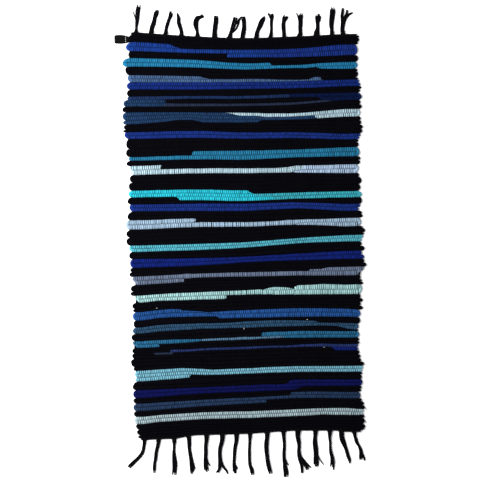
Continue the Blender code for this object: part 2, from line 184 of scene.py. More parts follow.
# Each dye as it looks by daylight, and the piece that its rags are sorted into.
DYES = {
    "black": ((3.6, 3.4, 6.6), "black"),
    "bright royal": ((18, 46, 111), "blue"),
    "royal": ((18, 38, 102), "blue"),
    "deep royal": ((14, 34, 99), "blue"),
    "indigo": ((11, 26, 92), "blue"),
    "deep indigo": ((8, 13, 67), "blue"),
    "violet": ((28, 40, 81), "blue"),
    "azure": ((27, 65, 119), "blue"),
    "sky": ((28, 100, 136), "teal"),
    "teal": ((29, 95, 126), "teal"),
    "dusk teal": ((30, 81, 112), "teal"),
    "grey teal": ((66, 96, 120), "teal"),
    "cyan": ((33, 155, 171), "teal"),
    "dusk cyan": ((47, 138, 151), "teal"),
    "aqua": ((67, 142, 157), "teal"),
    "pale aqua": ((92, 141, 157), "teal"),
    "navy": ((4, 16, 50), "slate"),
    "dim slate": ((20, 38, 72), "slate"),
    "slate": ((23, 46, 76), "slate"),
    "dusk slate": ((29, 46, 72), "slate"),
    "grey slate": ((55, 78, 110), "slate"),
    "slate teal": ((35, 63, 87), "slate"),
    "lilac grey": ((30, 38, 57), "slate"),
    "lavender grey": ((84, 95, 115), "slate"),
    "white": ((145, 169, 179), "pale"),
    "blue white": ((137, 157, 179), "pale"),
    "pale lavender": ((127, 149, 168), "pale"),
    "mint": ((132, 169, 169), "pale"),
    "pale mint": ((132, 151, 156), "pale"),
}

# y, and how far the turns of the rag reach there from the middle, to the left and to the right.
LEFT_SELVEDGE = np.array((
    (-499, 286), (-481, 291), (-473, 290), (-465, 295), (-456, 295), (-424, 297), (-406, 296), (-368, 297),
    (-350, 290), (-324, 291), (-313, 299), (-298, 304), (-290, 296), (-282, 298), (-260, 290), (-254, 301),
    (-241, 296), (-208, 292), (-159, 294), (-146, 282), (-130, 298), (-117, 296), (-97, 287), (-82, 303),
    (-70, 296), (-53, 297), (-34, 299), (-16, 297), (4, 305), (23, 304), (31, 299), (37, 307), (44, 304),
    (60, 305), (68, 300), (75, 294), (82, 298), (88, 295), (107, 300), (124, 296), (143, 296), (152, 299),
    (160, 292), (172, 294), (186, 290), (205, 301), (214, 293), (229, 301), (242, 303), (262, 298),
     (291, 309),
    (304, 301), (314, 308), (342, 307), (360, 305), (368, 303), (373, 296), (399, 294), (406, 296),
     (420, 292),
    (462, 304), (471, 302), (481, 289), (503, 294), (509, 295), (516, 289), (522, 291), (528, 287),
    (534, 280)), float)
RIGHT_SELVEDGE = np.array((
    (-497, 295), (-491, 294), (-486, 298), (-476, 300), (-470, 297), (-458, 299), (-447, 294), (-436, 296),
    (-427, 300), (-416, 293), (-404, 288), (-384, 290), (-358, 298), (-349, 291), (-342, 297), (-337, 294),
    (-325, 298), (-319, 299), (-311, 293), (-297, 289), (-276, 284), (-268, 289), (-223, 286), (-213, 295),
    (-205, 291), (-185, 293), (-177, 301), (-167, 294), (-157, 300), (-149, 293), (-113, 301), (-101, 295),
    (-85, 295), (-78, 306), (-70, 313), (-52, 306), (-43, 306), (-31, 299), (-24, 308), (-17, 308),
     (-11, 300),
    (-2, 300), (10, 306), (18, 309), (27, 306), (40, 299), (54, 300), (64, 306), (78, 294), (95, 303),
    (111, 302), (128, 299), (154, 304), (160, 301), (171, 294), (202, 302), (249, 296), (274, 306),
     (287, 310),
    (326, 302), (339, 309), (352, 304), (365, 309), (378, 302), (385, 310), (408, 301), (430, 300),
     (444, 299),
    (468, 302), (475, 299), (499, 300), (508, 305), (515, 304), (521, 308)), float)

END_GAP = 2.65
RAG_MIDDLE = 4.35
RAG_HALF_HEIGHT = 3.75
RAG_FULLNESS = 1.1
LOOP_HALF_WIDTH = 3.7
TURN_DEPTH = 8.5
TIP_SHARE = 0.35
BLACK_PRESS, DYED_PRESS = 0.17, 0.2

LOOP_BULGE = 0.7
# the pick from which the black rags belong to the near half
NEAR_HALF = 57
# what is kept for each ring of a rag: its middle, half width, half height, how much it is
# pressed flat above and below, and where it lies between the warp ends
KEYS = ("x", "y", "z", "wide", "tall", "top", "low", "u")
rng = np.random.default_rng(11)


def linear(colour):
    """A colour in 0 to 255 as light."""
    share = np.array(colour, float) / 255
    return np.where(share <= 0.04045, share / 12.92, ((share + 0.055) / 1.055) ** 2.4)


def beaten(values):
    """A beaten line on the grid: a smooth curve through its five stations, or its own points joined."""
    values = np.asarray(values, float)
    if values.ndim == 2:
        return np.interp(GRID, values[:, 0], values[:, 1])
    x = np.clip(GRID, STATIONS[0], STATIONS[-1])
    slopes = np.gradient(values, STATIONS)
    k = np.clip(np.searchsorted(STATIONS, x, side="right") - 1, 0, len(STATIONS) - 2)
    span = np.diff(STATIONS)[k]
    t = (x - STATIONS[k]) / span
    return (values[k] * (1 + 2 * t) * (1 - t) ** 2 + values[k + 1] * t * t * (3 - 2 * t)
            + slopes[k] * span * t * (1 - t) ** 2 - slopes[k + 1] * span * t * t * (1 - t))


def across(line, x):
    """y of a beaten line at each x."""
    return np.interp(x, GRID, line)


def selvedge(side, y):
    """The x of the left (-1) or right (1) selvedge at y."""
    table = LEFT_SELVEDGE if side < 0 else RIGHT_SELVEDGE
    return side * np.interp(y, table[:, 0], table[:, 1])


def warp_x(end):
    """Where a warp end lies. They are spaced by hand, so a little unevenly."""
    end = np.asarray(end, float)
    return END_GAP * end + 0.45 * np.sin(end * 0.83) + 0.4 * np.sin(end * 2.17 + 1) + 0.5 * np.sin(end * 0.19)


def slow_noise(x, reach, seed):
    """A smooth random curve over x with bumps about reach long, from -1 to 1."""
    knots = np.random.default_rng(seed).uniform(-1, 1, 400)
    place = (np.asarray(x, float) + 1000) / reach
    low = np.clip(place.astype(int), 0, 398)
    share = place - low
    share = share * share * (3 - 2 * share)
    return knots[low] * (1 - share) + knots[low + 1] * share


def beaten_lines():
    """The lines between the picks from the far end, and the runs of rag of each pick."""
    edge, first = beaten(TOP_LINE), beaten(STRIPES[0][2])
    lines = [edge + (first - edge) * k / HEADING_PICKS for k in range(HEADING_PICKS)]
    dyed = [()] * HEADING_PICKS
    for index, (_, blacks, top, foot, picks, *uneven) in enumerate(STRIPES):
        below = beaten(STRIPES[index + 1][2] if index + 1 < len(STRIPES) else FOOT_LINE)
        top, foot = beaten(top), beaten(foot)
        shares = [np.ones(len(GRID))] * len(picks)
        if uneven:
            shares = [np.interp(GRID, *zip(*points)) for points in uneven[0]]
        edge = top
        for share in shares:
            lines.append(edge)
            edge = edge + (foot - top) * share / sum(shares)
        lines += [foot + (below - foot) * k / blacks for k in range(blacks)]
        dyed += list(picks) + [()] * blacks
    return lines + [below], dyed


def all_runs(dyed):
    """Every run of rag, black ones too: one list for each pick, from left to right."""
    picks = []
    for pick, coloured in enumerate(dyed):
        runs, at = [], LEFT
        for start, end, dye, taper in coloured:
            if start > at:
                runs.append({"pick": pick, "start": at, "end": start, "dye": "black", "taper": taper})
            runs.append({"pick": pick, "start": start, "end": end, "dye": dye, "taper": taper})
            at = end
        if at < RIGHT:
            taper = coloured[-1][3] if coloured else 0
            runs.append({"pick": pick, "start": at, "end": RIGHT, "dye": "black", "taper": taper})
        for left, right in zip(runs, runs[1:]):
            if left["dye"] == "black":
                left["end_taper"] = right["start_taper"] = right["taper"]
            else:
                left["end_taper"] = right["start_taper"] = left["taper"]
        picks.append(runs)
    return picks


def dye_at(picks, pick, x):
    """The dye of a pick at x."""
    if not 0 <= pick < len(picks):
        return None
    return next(run["dye"] for run in picks[pick] if run["start"] <= x <= run["end"])


def lean(picks, run, x):
    """To which side a thinning end leans: to the next pick of its own dye, 1 for the far one."""
    if dye_at(picks, run["pick"] + 1, x) == run["dye"]:
        return -1
    return 1 if dye_at(picks, run["pick"] - 1, x) == run["dye"] else 0


def set_leans(picks):
    """Where two runs meet in one pick they thin out side by side."""
    for runs in picks:
        for left, right in zip(runs, runs[1:]):
            x = left["end"]
            a, b = lean(picks, left, x), lean(picks, right, x)
            if right["dye"] != "black" and b:
                a = -b
            elif a:
                b = -a
            elif b:
                a = -b
            left["end_lean"], right["start_lean"] = a, b


def body(run, lines):
    """The rings of a run between its ends, from left to right, as a dictionary of arrays."""
    pick = run["pick"]
    step = 2 / 3 if run["dye"] == "black" else 0.5
    y_left, y_right = lines[pick][0], lines[pick][-1]
    low = selvedge(-1, y_left) + TURN_DEPTH if run["start"] == LEFT else run["start"] - run["start_taper"]
    high = selvedge(1, y_right) - TURN_DEPTH if run["end"] == RIGHT else run["end"] + run["end_taper"]
    odd = pick % 2
    ends = odd + step * np.arange(math.ceil((-125 - odd) / step), math.floor((125 - odd) / step) + 1)
    x = warp_x(ends)
    keep = (x >= low) & (x <= high)
    ends, x = ends[keep], x[keep]
    above, under = across(lines[pick], x), across(lines[pick + 1], x)
    pitch = above - under
    share = np.ones(len(x))
    y = (above + under) / 2 + 0.35 * slow_noise(x, 26, pick)
    for key, towards in (("start", 1), ("end", -1)):
        if abs(run[key]) < RIGHT:
            reach = max(run[f"{key}_taper"], 1)
            t = np.clip(towards * (x - run[key]) / (2 * reach) + 0.5, 0, 1)
            smooth = t * t * (3 - 2 * t)
            share = share * (TIP_SHARE + (1 - TIP_SHARE) * smooth)
            y = y + run[f"{key}_lean"] * (1 - TIP_SHARE) * (1 - smooth) * pitch / 2
    phase = (ends - odd) / 2
    over = 0.5 + 0.5 * np.cos(2 * math.pi * phase)
    press = BLACK_PRESS if run["dye"] == "black" else DYED_PRESS
    uneven = 1 + 0.3 * np.random.default_rng(pick).uniform(-1, 1, len(x))
    top = press * np.clip(over, 0, 1) ** 1.6 * uneven
    low_press = press * np.clip(1 - over, 0, 1) ** 1.6 * uneven
    puff = 1 + 0.03 * np.random.default_rng(pick + 500).uniform(-1, 1, len(x))
    wide = pitch / 2 * RAG_FULLNESS * share * puff * (1 - 0.05 * over)
    tall = RAG_HALF_HEIGHT * (0.4 + 0.6 * share) * puff * (1 + 0.035 * slow_noise(x, 40, pick + 200))
    z = RAG_MIDDLE + 0.2 * slow_noise(x, 60, pick + 300)
    return {"ends": ends, "x": x, "y": y, "z": np.full(len(x), z), "wide": wide, "tall": tall,
            "top": top, "low": low_press, "u": phase, "share": share}


def pairs(picks, side):
    """Which picks are joined by a turn at a selvedge: each black turn joins two picks."""
    place = 0 if side < 0 else -1
    found, group = [], []
    for runs in picks + [None]:
        run = runs[place] if runs else None
        if run and abs(run["start" if side < 0 else "end"]) < RIGHT:
            continue
        if group and (run is None or run["dye"] != group[-1]["dye"]):
            first = 1 if side > 0 and group[0]["dye"] == "black" else 0
            found += [(group[k], group[k + 1]) for k in range(first, len(group) - 1, 2)]
            group = []
        if run is not None:
            group.append(run)
    return found


def strips(picks):
    """The runs joined into strips of rag, each a list of (run, True if it is followed to the right)."""
    joins = {}
    owner = {id(run): id(run) for runs in picks for run in runs}
    for side in (-1, 1):
        for a, b in pairs(picks, side):
            if owner[id(a)] != owner[id(b)]:
                joins[(id(a), side)], joins[(id(b), side)] = b, a
                old, new = owner[id(b)], owner[id(a)]
                owner = {key: new if value == old else value for key, value in owner.items()}
    found, used = [], set()
    for runs in picks:
        for run in runs:
            if id(run) in used or ((id(run), -1) in joins and (id(run), 1) in joins):
                continue
            side = 1 if (id(run), 1) in joins else -1
            strip, at = [], run
            while at is not None and id(at) not in used:
                used.add(id(at))
                strip.append((at, side))
                after = joins.get((id(at), side))
                side = -side
                at = after
            found.append(strip)
    return found


def turn(side, leaving, entering, bulge):
    """The rings of a turn round the selvedge, from one pick's last ring to the next one's first."""
    angle = np.linspace(0, math.pi, 9)[1:-1]
    x0 = (leaving["x"] + entering["x"]) / 2
    reach = abs(selvedge(side, (leaving["y"] + entering["y"]) / 2) - x0) + bulge - LOOP_HALF_WIDTH
    round_it = np.sin(angle) ** 0.75
    middle = (leaving["y"] + entering["y"]) / 2
    ratio = (1 - np.cos(angle)) / 2
    wide = leaving["wide"] * (1 - ratio) + entering["wide"] * ratio
    return {
        "x": leaving["x"] * (1 - ratio) + entering["x"] * ratio + side * reach * round_it,
        "y": middle + (leaving["y"] - entering["y"]) / 2 * np.cos(angle),
        "z": np.full(7, RAG_MIDDLE - 0.3),
        "wide": wide * (1 - round_it) + LOOP_HALF_WIDTH * round_it,
        "tall": np.full(7, RAG_HALF_HEIGHT) * (1 - 0.1 * round_it),
        "top": np.zeros(7), "low": np.zeros(7), "u": np.full(7, 0.25),
    }


def tucked(side, last):
    """The closed end of a rag at the selvedge."""
    out = np.array((0.4, 0.75, 1.0)) * TURN_DEPTH
    return {
        "x": last["x"] + side * out, "y": np.full(3, last["y"]), "z": np.full(3, last["z"] - 0.3),
        "wide": last["wide"] * np.array((0.97, 0.78, 0.4)), "tall": last["tall"] * np.array((0.95, 0.8, 0.5)),
        "top": np.zeros(3), "low": np.zeros(3), "u": np.full(3, 0.25),
    }


def last_ring(part, index):
    """The ring at one end of a pick."""
    return {key: part[key][index] for key in ("x", "y", "z", "wide", "tall")}


def strand(strip, bodies):
    """One strip of rag as a tube: its picks and the turns between them."""
    first, side = strip[0]
    dye, family = DYES[first["dye"]]
    parts = []
    back = -side
    if abs(first["start" if back < 0 else "end"]) == RIGHT:
        ring = last_ring(bodies[id(first)], 0 if back < 0 else -1)
        closed = tucked(back, ring)
        parts.append({key: closed[key][::-1] for key in KEYS})
    for place, (run, side) in enumerate(strip):
        part = bodies[id(run)]
        parts.append({key: part[key] if side > 0 else part[key][::-1] for key in KEYS})
        ring = last_ring(part, -1 if side > 0 else 0)
        if place + 1 < len(strip):
            after = bodies[id(strip[place + 1][0])]
            entering = last_ring(after, -1 if side > 0 else 0)
            bulge = LOOP_BULGE * rng.uniform(-1, 1)
            parts.append(turn(side, ring, entering, bulge))
        elif abs(run["end" if side > 0 else "start"]) == RIGHT:
            parts.append(tucked(side, ring))
    joined = {key: np.concatenate([part[key] for part in parts]) for key in KEYS}
    count = len(joined["x"])
    shade = 1 + 0.09 * slow_noise(joined["x"], 34, first["pick"] + 900) + 0.05 * rng.uniform(-1, 1, count)
    joined["points"] = np.column_stack((joined["x"], joined["y"], joined["z"]))
    joined["dye"] = linear(dye)[None, :] * shade[:, None]
    joined["row"] = first["pick"]
    return family, joined


def tubes(name, strands, sides, squareness=0.8):
    """One mesh of many closed tubes, with a map along and round each and their dye in the points."""
    angles = 2 * math.pi * np.arange(sides) / sides
    cos, sin = np.cos(angles), np.sin(angles)
    cos = np.sign(cos) * np.abs(cos) ** squareness
    sin = np.sign(sin) * np.abs(sin) ** squareness
    points, dyes, loops, starts, maps = [], [], [], [], []
    base = loop_base = 0
    for tube in strands:
        path = tube["points"]
        n = len(path)
        tangent = np.gradient(path, axis=0)
        tangent /= np.linalg.norm(tangent, axis=1, keepdims=True)
        if "across" in tube:
            side = tube["across"] - tangent * (tangent @ tube["across"])[:, None]
        else:
            side = np.cross(tangent, (0.0, 0.0, 1.0))
        side /= np.linalg.norm(side, axis=1, keepdims=True)
        up = np.cross(side, tangent)
        press = np.where(sin[None, :] > 0, 1 - tube["top"][:, None], 1 - tube["low"][:, None])
        ring = (path[:, None, :] + side[:, None, :] * (tube["wide"][:, None] * cos)[:, :, None]
                + up[:, None, :] * (tube["tall"][:, None] * sin * press)[:, :, None])
        points.append(ring.reshape(-1, 3))
        dyes.append(np.repeat(tube["dye"], sides, axis=0))
        i, k = np.meshgrid(np.arange(n - 1), np.arange(sides), indexing="ij")
        here = base + i * sides
        k_next = (k + 1) % sides
        quads = np.stack((here + k, here + sides + k, here + sides + k_next, here + k_next), axis=-1)
        quads = quads.reshape(-1)
        cap = base + np.arange(sides)
        far_cap = base + (n - 1) * sides + np.arange(sides)[::-1]
        loops += [quads, cap, far_cap]
        quad_count = (n - 1) * sides
        starts += [loop_base + 4 * np.arange(quad_count),
                   loop_base + 4 * quad_count + np.array((0, sides))]
        u = tube["u"]
        along = np.stack((u[i], u[i + 1], u[i + 1], u[i]), axis=-1).reshape(-1)
        round_it = np.stack((k, k, k + 1, k + 1), axis=-1).reshape(-1) / sides
        edge = np.arange(sides) / sides
        maps.append(np.column_stack((
            np.concatenate((along, np.full(sides, u[0]), np.full(sides, u[-1]))),
            np.concatenate((round_it, edge, edge[::-1])) + tube["row"])))
        base += n * sides
        loop_base += 4 * quad_count + 2 * sides
    points, loops = np.concatenate(points) * MM, np.concatenate(loops)
    starts, maps, dyes = np.concatenate(starts), np.concatenate(maps), np.concatenate(dyes)
    mesh = bpy.data.meshes.new(name)
    mesh.vertices.add(len(points))
    mesh.vertices.foreach_set("co", points.ravel())
    mesh.loops.add(len(loops))
    mesh.loops.foreach_set("vertex_index", loops.astype(np.int32))
    mesh.polygons.add(len(starts))
    mesh.polygons.foreach_set("loop_start", starts.astype(np.int32))
    mesh.update(calc_edges=True)
    mesh.shade_smooth()
    mesh.uv_layers.new(name="lie").data.foreach_set("uv", maps.ravel().astype(np.float32))
    dye = mesh.color_attributes.new(name="dye", type="FLOAT_COLOR", domain="POINT")
    dye.data.foreach_set("color", np.column_stack((dyes, np.ones(len(dyes)))).ravel().astype(np.float32))
    mesh.validate()
    piece = bpy.data.objects.new(name, mesh)
    bpy.context.scene.collection.objects.link(piece)
    return piece


def cloth(name, streak_and_fold_shade, yarn_and_groove_shade, roughness, gloss):
    """Dyed cotton: wrinkled along the rag, with streaky tone that is partly the rag's own and partly painted
    shade of its wrinkles, and a dark line at each warp crossing that is partly the black yarn drawn in and
    partly painted shade in the groove beside it.
    """
    finish = bpy.data.materials.new(name)
    finish.use_nodes = True
    nodes, links = finish.node_tree.nodes, finish.node_tree.links
    shader = nodes["Principled BSDF"]
    shader.inputs["Roughness"].default_value = roughness
    shader.inputs["Specular IOR Level"].default_value = gloss
    dye = nodes.new("ShaderNodeAttribute")
    dye.attribute_name = "dye"
    lie = nodes.new("ShaderNodeUVMap")
    lie.uv_map = "lie"
    stretch = nodes.new("ShaderNodeMapping")
    stretch.inputs["Scale"].default_value = (1.6, 26, 1)
    links.new(lie.outputs["UV"], stretch.inputs["Vector"])
    fibre = nodes.new("ShaderNodeTexNoise")
    fibre.inputs["Scale"].default_value = 0.55
    fibre.inputs["Detail"].default_value = 4
    links.new(stretch.outputs["Vector"], fibre.inputs["Vector"])
    # The dye is made lighter and darker by the same noise that raises the wrinkle bump. This is partly the
    # rag's own uneven tone and partly painted shade of the wrinkles.
    tone_and_fold_shade = nodes.new("ShaderNodeMapRange")
    tone_and_fold_shade.inputs["From Min"].default_value = 0.3
    tone_and_fold_shade.inputs["From Max"].default_value = 0.7
    tone_and_fold_shade.inputs["To Min"].default_value = 1 - streak_and_fold_shade
    tone_and_fold_shade.inputs["To Max"].default_value = 1 + streak_and_fold_shade
    links.new(fibre.outputs["Fac"], tone_and_fold_shade.inputs["Value"])
    split = nodes.new("ShaderNodeSeparateXYZ")
    links.new(lie.outputs["UV"], split.inputs["Vector"])

    def math_node(operation, a, b=0.0):
        node = nodes.new("ShaderNodeMath")
        node.operation = operation
        for place, value in enumerate((a, b)):
            if isinstance(value, (int, float)):
                node.inputs[place].default_value = value
            else:
                links.new(value, node.inputs[place])
        return node.outputs["Value"]

    # A dark line across the rag at each warp crossing, above and beneath. Where no risen yarn lies, it draws
    # the black warp yarn into the colour. Round the risen yarns it is painted shade in the groove beside them.
    underside = math_node("GREATER_THAN", math_node("FRACT", split.outputs["Y"]), 0.5)
    phase = math_node("ADD", split.outputs["X"], math_node("MULTIPLY", underside, 0.5))
    distance = math_node("PINGPONG", phase, 0.5)
    line = nodes.new("ShaderNodeMapRange")
    line.interpolation_type = "SMOOTHSTEP"
    line.inputs["From Min"].default_value = 0.07
    line.inputs["From Max"].default_value = 0.19
    line.inputs["To Min"].default_value = 1 - yarn_and_groove_shade
    line.inputs["To Max"].default_value = 1.0
    links.new(distance, line.inputs["Value"])
    strength = math_node("MULTIPLY", line.outputs["Result"], tone_and_fold_shade.outputs["Result"])
    colour = nodes.new("ShaderNodeVectorMath")
    colour.operation = "SCALE"
    links.new(dye.outputs["Color"], colour.inputs[0])
    links.new(strength, colour.inputs["Scale"])
    links.new(colour.outputs["Vector"], shader.inputs["Base Color"])
    bump = nodes.new("ShaderNodeBump")
    bump.inputs["Strength"].default_value = 0.48
    bump.inputs["Distance"].default_value = 0.0006
    links.new(fibre.outputs["Fac"], bump.inputs["Height"])
    links.new(bump.outputs["Normal"], shader.inputs["Normal"])
    return finish


lines, dyed = beaten_lines()
picks = all_runs(dyed)
set_leans(picks)
bodies = {id(run): body(run, lines) for runs in picks for run in runs if run["dye"]}
bodies = {key: part for key, part in bodies.items() if len(part["x"]) > 2}
families = {"black far": [], "black near": [], "blue": [], "teal": [], "slate": [], "pale": []}
for strip in strips([[run for run in runs if id(run) in bodies] for runs in picks]):
    family, tube = strand(strip, bodies)
    if family == "black":
        family = "black far" if tube["row"] < NEAR_HALF else "black near"
    families[family].append(tube)

# The second number is how far the tone swings, partly painted wrinkle shade. The third is how dark the
# crossing line goes, black yarn and painted groove shade together.
dyed_cotton = cloth("dyed cotton rag", 0.16, 0.8, 0.92, 0.03)
black_cotton = cloth("black cotton rag", 0.6, 0.45, 0.95, 0.02)
for family, tubes_of in families.items():
    name = f"{family.replace(' ', '_')}_rags"
    piece = tubes(name, tubes_of, 6 if family.startswith("black") else 8)
    piece.data.materials.append(black_cotton if family.startswith("black") else dyed_cotton)
    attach(piece, "root")

# Warp
# Some 225 ends of black cotton yarn run the length of the mat through the middle of its
# thickness. Every second one comes up over a pick and shows as a fine black line across it.
YARN_HALF_WIDTH = 0.9
YARN_HALF_HEIGHT = 0.55
YARN_ACROSS = np.array((-1.04, -0.82, -0.46, 0.46, 0.82, 1.04))
YARN_RISE = np.array((0.0, 0.62, 0.97, 0.97, 0.62, 0.0))
YARN_LIFT = np.array((0.0, 0.3, 0.35, 0.35, 0.3, 0.0))
YARN_SHOW = {"pale": 1.0, "blue": 1.05, "teal": 0.85, "slate": 1.05}
# where every second end is stouter than the next, from x to x
OPEN_WEAVE = {"pale lavender": (-125, 80), "lavender grey": (-55, 90), "mint": (-52, 52)}
WARP_ENDS = 112
WARP_ROWS = 22
WARP_TOP, WARP_FOOT = 5.0, 3.4
END_SPARE = 5.0


def crossings():
    """The yarn's arc over every dyed pick, wherever it comes up."""
    found = []
    for pick, runs in enumerate(picks):
        for run in runs:
            part = bodies.get(id(run))
            if part is None or run["dye"] in ("black", None):
                continue
            over = np.abs((part["ends"] - pick % 2) % 2) < 0.01
            over &= part["share"] > 0.5
            for at in np.nonzero(over)[0]:
                wide, lift = part["wide"][at], part["tall"][at] * (1 - part["top"][at])
                stout = rng.uniform(0.55, 1.5) * YARN_SHOW[DYES[run["dye"]][1]]
                low, high = OPEN_WEAVE.get(run["dye"], (0, 0))
                if low < part["x"][at] < high:
                    second = round((part["ends"][at] - pick % 2) / 2) % 2
                    stout = rng.uniform(0.2, 0.8) if second else rng.uniform(1.5, 2.5)
                path = np.column_stack((
                    part["x"][at] + rng.uniform(-0.25, 0.25) + 0.2 * YARN_ACROSS,
                    part["y"][at] - YARN_ACROSS * wide,
                    part["z"][at] + lift * YARN_RISE + YARN_LIFT))
                found.append({
                    "points": path, "across": np.array((1.0, 0.0, 0.0)), "u": np.linspace(0, 2, 6) + at,
                    "wide": np.full(6, YARN_HALF_WIDTH * stout), "tall": np.full(6, YARN_HALF_HEIGHT),
                    "top": np.zeros(6), "low": np.zeros(6), "row": pick,
                    "dye": np.full((6, 3), 0.006)})
    return found


def warp_sheet():
    """The ends side by side between the faces of the mat, a ridge each, as one thin closed sheet."""
    ends = np.arange(-WARP_ENDS, WARP_ENDS + 0.25, 0.5)
    ridge = (np.arange(len(ends)) % 2 == 0) * 0.55
    points = []
    for share in np.linspace(0, 1, WARP_ROWS):
        line = [(1 - share) * (a + END_SPARE) + share * (b - END_SPARE) for a, b in zip(lines[0], lines[-1])]
        y_edge = np.mean(line)
        x = warp_x(ends)
        middle = (selvedge(1, y_edge) + selvedge(-1, y_edge)) / 2
        x = middle + x * (selvedge(1, y_edge) - selvedge(-1, y_edge) - 2 * TURN_DEPTH) / (x[-1] - x[0])
        y = across(line, x)
        points.append(np.column_stack((x, y, WARP_TOP + ridge)))
        points.append(np.column_stack((x, y, WARP_FOOT - ridge)))
    points = np.array(points)
    rows, columns = WARP_ROWS, len(ends)
    at = np.arange(rows * 2 * columns).reshape(rows, 2, columns)
    faces = []
    for r in range(rows - 1):
        for c in range(columns - 1):
            faces.append((at[r, 0, c], at[r + 1, 0, c], at[r + 1, 0, c + 1], at[r, 0, c + 1]))
            faces.append((at[r, 1, c], at[r, 1, c + 1], at[r + 1, 1, c + 1], at[r + 1, 1, c]))
        faces.append((at[r, 0, 0], at[r, 1, 0], at[r + 1, 1, 0], at[r + 1, 0, 0]))
        faces.append((at[r, 0, -1], at[r + 1, 0, -1], at[r + 1, 1, -1], at[r, 1, -1]))
    for c in range(columns - 1):
        faces.append((at[0, 0, c], at[0, 0, c + 1], at[0, 1, c + 1], at[0, 1, c]))
        faces.append((at[-1, 0, c], at[-1, 1, c], at[-1, 1, c + 1], at[-1, 0, c + 1]))
    mesh = bpy.data.meshes.new("warp_ends")
    mesh.from_pydata((points.reshape(-1, 3) * MM).tolist(), [], [tuple(map(int, face)) for face in faces])
    mesh.update()
    piece = bpy.data.objects.new("warp_ends", mesh)
    bpy.context.scene.collection.objects.link(piece)
    return piece


def yarn(name):
    """Black cotton warp yarn."""
    finish = bpy.data.materials.new(name)
    finish.use_nodes = True
    nodes, links = finish.node_tree.nodes, finish.node_tree.links
    shader = nodes["Principled BSDF"]
    shader.inputs["Base Color"].default_value = (0.002, 0.002, 0.0027, 1)
    shader.inputs["Roughness"].default_value = 0.9
    shader.inputs["Specular IOR Level"].default_value = 0.02
    place = nodes.new("ShaderNodeTexCoord")
    fibre = nodes.new("ShaderNodeTexNoise")
    fibre.inputs["Scale"].default_value = 1400
    fibre.inputs["Detail"].default_value = 2
    links.new(place.outputs["Object"], fibre.inputs["Vector"])
    bump = nodes.new("ShaderNodeBump")
    bump.inputs["Strength"].default_value = 0.4
    bump.inputs["Distance"].default_value = 0.0004
    links.new(fibre.outputs["Fac"], bump.inputs["Height"])
    links.new(bump.outputs["Normal"], shader.inputs["Normal"])
    return finish


warp_yarn = yarn("black warp yarn")
risen = tubes("warp_crossings", crossings(), 3, 1.0)
risen.data.materials.append(warp_yarn)
warp = warp_sheet()
warp.data.materials.append(warp_yarn)
for piece in (risen, warp):
    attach(piece, "root")
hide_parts("woven_mat")

# Fringes
# At each end the warp ends are twined together along the cloth's edge, gathered by the dozen,
# knotted and cut. Some locks have come loose and lie apart.
TWINE_RADIUS = 1.5
TWINE_LAY = 9.0
TWINE_OUT = 2.4
TWINE_LEVEL = 2.6
TWINE_SWING = 0.9
KNOT_CORD = 1.6
KNOT_SPACE = 6.2
KNOT_SWELL = (0.86, 1.0, 0.82)
YARN_RADIUS = 1.3
YARN_SPACING = 1.5
# how far the outermost yarns and cords lie outside the line given, on each side
EASE = 0.8
LOOSE_EASE = 0.3

